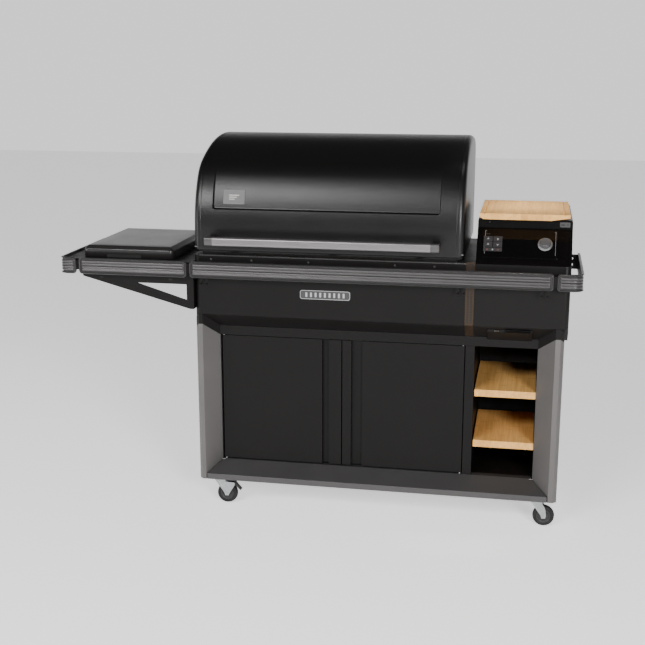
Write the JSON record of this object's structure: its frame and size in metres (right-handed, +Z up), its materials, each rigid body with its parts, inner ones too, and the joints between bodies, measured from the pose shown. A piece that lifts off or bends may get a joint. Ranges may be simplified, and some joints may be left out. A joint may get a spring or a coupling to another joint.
{
  "type": "pellet smoker grill",
  "caption": "Wood pellet smoker grill on a cabinet cart, with a barrel hood, a side shelf with a covered cooktop, a pellet hopper with a control console, and casters.",
  "frame": {"origin": "on the floor, under the middle of the grill's bounding box", "axes": "+X to the right when facing the doors, +Y towards the back, +Z up"},
  "size_m": [1.818, 0.636, 1.3289],
  "materials": {
    "graphite": "metallic satin paint",
    "rail_graphite": "metallic grey powder coat",
    "satin_black": "satin black powder coat",
    "hood_black": "fine textured black powder coat",
    "bamboo": "oiled laminated bamboo",
    "zinc": "zinc plated",
    "caster_tyre": "moulded rubber",
    "black_plastic": "matte moulded",
    "bronze": "bronze metallic paint",
    "badge": "brushed",
    "inner_steel": "plain sheet steel",
    "grate_iron": "porcelain enamel",
    "handle_silver": "brushed satin",
    "handle_grey": "graphite satin",
    "cooktop_glass": "black glass ceramic on a sheet box",
    "panel_gloss": "gloss black",
    "dial_metal": "satin grey"
  },
  "bodies": {
    "cart": {"front_posts": "graphite", "bottom_rail": "graphite", "top_band": "satin_black", "cart_base": "satin_black", "cart_sides": "satin_black", "cart_back": "satin_black", "bay_divider": "satin_black", "bamboo_shelves": "bamboo", "hinge_pins": "zinc", "hinge_brackets": "satin_black", "caster_plates": "zinc", "body_shroud": "satin_black", "vent_strip": "bronze", "badge_plate": "badge", "firebox": "inner_steel", "firepot": "inner_steel", "igniter_rod": "inner_steel", "heat_baffle": "inner_steel", "drip_tray": "inner_steel", "cooking_grates": "grate_iron", "grease_keg": "inner_steel", "rail_main_plate": "rail_graphite", "rail_left_plate": "rail_graphite", "corner_rails": "rail_graphite", "rail_mounts": "satin_black", "side_shelf": "satin_black", "shelf_arms": "satin_black", "cooktop": "cooktop_glass", "hopper_shell": "satin_black", "hopper_bin": "inner_steel", "control_panel": "panel_gloss", "touch_display": "panel_gloss", "auger_tube": "inner_steel", "auger_motor": "inner_steel", "fan_housing": "satin_black", "power_inlet": "black_plastic"},
    "hood": {"hood_shell": "hood_black", "hood_liner": "inner_steel", "handle_bar": "handle_silver", "handle_brackets": "handle_grey", "label_plate": "hood_black"},
    "left_door": {"left_door": "satin_black"},
    "right_door": {"right_door": "satin_black"},
    "fork_front_left": {"fork_front_left": "zinc"},
    "fork_front_right": {"fork_front_right": "zinc"},
    "fork_rear_left": {"fork_rear_left": "zinc"},
    "fork_rear_right": {"fork_rear_right": "zinc"},
    "wheel_front_left": {"wheel_front_left": "caster_tyre"},
    "wheel_front_right": {"wheel_front_right": "caster_tyre"},
    "wheel_rear_left": {"wheel_rear_left": "caster_tyre"},
    "wheel_rear_right": {"wheel_rear_right": "caster_tyre"},
    "brake_front_left": {"brake_front_left": "black_plastic"},
    "brake_rear_left": {"brake_rear_left": "black_plastic"},
    "cooktop_cover": {"cooktop_cover": "satin_black"},
    "hopper_lid": {"hopper_lid": "satin_black"},
    "cutting_board": {"cutting_board": "bamboo"},
    "cleanout_gate": {"cleanout_slide": "satin_black"},
    "dial": {"dial": "dial_metal"},
    "auger": {"auger_screw": "inner_steel"},
    "fan": {"fan_impeller": "inner_steel"}
  },
  "joints": [
    {"name": "hood_hinge", "type": "hinge", "parent": "cart", "child": "hood", "pos_m": [0, 0.3, 0.975], "axis": [-1, 0, 0], "range_deg": [0, 80]},
    {"name": "left_door_hinge", "type": "hinge", "parent": "cart", "child": "left_door", "pos_m": [-0.337, -0.172, 0.4], "axis": [0, 0, -1], "range_deg": [0, 110]},
    {"name": "right_door_hinge", "type": "hinge", "parent": "cart", "child": "right_door", "pos_m": [0.518, -0.172, 0.4], "axis": [0, 0, 1], "range_deg": [0, 110]},
    {"name": "caster_swivel_front_left", "type": "hinge", "parent": "cart", "child": "fork_front_left", "pos_m": [-0.355, -0.194, 0.09], "axis": [0, 0, 1], "continuous": true},
    {"name": "wheel_spin_front_left", "type": "hinge", "parent": "fork_front_left", "child": "wheel_front_left", "pos_m": [-0.329, -0.194, 0.038], "axis": [0, 1, 0], "continuous": true},
    {"name": "brake_lever_front_left", "type": "hinge", "parent": "fork_front_left", "child": "brake_front_left", "pos_m": [-0.304, -0.194, 0.077], "axis": [0, -1, 0], "range_deg": [0, 15]},
    {"name": "caster_swivel_front_right", "type": "hinge", "parent": "cart", "child": "fork_front_right", "pos_m": [0.79, -0.194, 0.09], "axis": [0, 0, 1], "continuous": true},
    {"name": "wheel_spin_front_right", "type": "hinge", "parent": "fork_front_right", "child": "wheel_front_right", "pos_m": [0.816, -0.194, 0.038], "axis": [0, 1, 0], "continuous": true},
    {"name": "caster_swivel_rear_left", "type": "hinge", "parent": "cart", "child": "fork_rear_left", "pos_m": [-0.355, 0.232, 0.09], "axis": [0, 0, 1], "continuous": true},
    {"name": "wheel_spin_rear_left", "type": "hinge", "parent": "fork_rear_left", "child": "wheel_rear_left", "pos_m": [-0.329, 0.232, 0.038], "axis": [0, 1, 0], "continuous": true},
    {"name": "brake_lever_rear_left", "type": "hinge", "parent": "fork_rear_left", "child": "brake_rear_left", "pos_m": [-0.304, 0.232, 0.077], "axis": [0, -1, 0], "range_deg": [0, 15]},
    {"name": "caster_swivel_rear_right", "type": "hinge", "parent": "cart", "child": "fork_rear_right", "pos_m": [0.79, 0.232, 0.09], "axis": [0, 0, 1], "continuous": true},
    {"name": "wheel_spin_rear_right", "type": "hinge", "parent": "fork_rear_right", "child": "wheel_rear_right", "pos_m": [0.816, 0.232, 0.038], "axis": [0, 1, 0], "continuous": true},
    {"name": "cover_lift", "type": "slide", "parent": "cart", "child": "cooktop_cover", "axis": [0, 0, 1], "range_m": [0, 0.12]},
    {"name": "lid_hinge", "type": "hinge", "parent": "cart", "child": "hopper_lid", "pos_m": [0.711, 0.278, 1.062], "axis": [-1, 0, 0], "range_deg": [0, 80]},
    {"name": "board_lift", "type": "slide", "parent": "hopper_lid", "child": "cutting_board", "axis": [0, 0, 1], "range_m": [0, 0.08]},
    {"name": "cleanout_pull", "type": "slide", "parent": "cart", "child": "cleanout_gate", "axis": [0, -1, 0], "range_m": [0, 0.05]},
    {"name": "dial_turn", "type": "hinge", "parent": "cart", "child": "dial", "pos_m": [0.779, -0.18827, 0.99518], "axis": [0, -0.7871, 0.6169], "continuous": true},
    {"name": "auger_turn", "type": "hinge", "parent": "cart", "child": "auger", "pos_m": [0.4, 0.02, 0.745], "axis": [1, 0, 0], "continuous": true},
    {"name": "fan_turn", "type": "hinge", "parent": "cart", "child": "fan", "pos_m": [0.701, 0.17, 0.632], "axis": [0, 1, 0], "continuous": true}
  ]
}
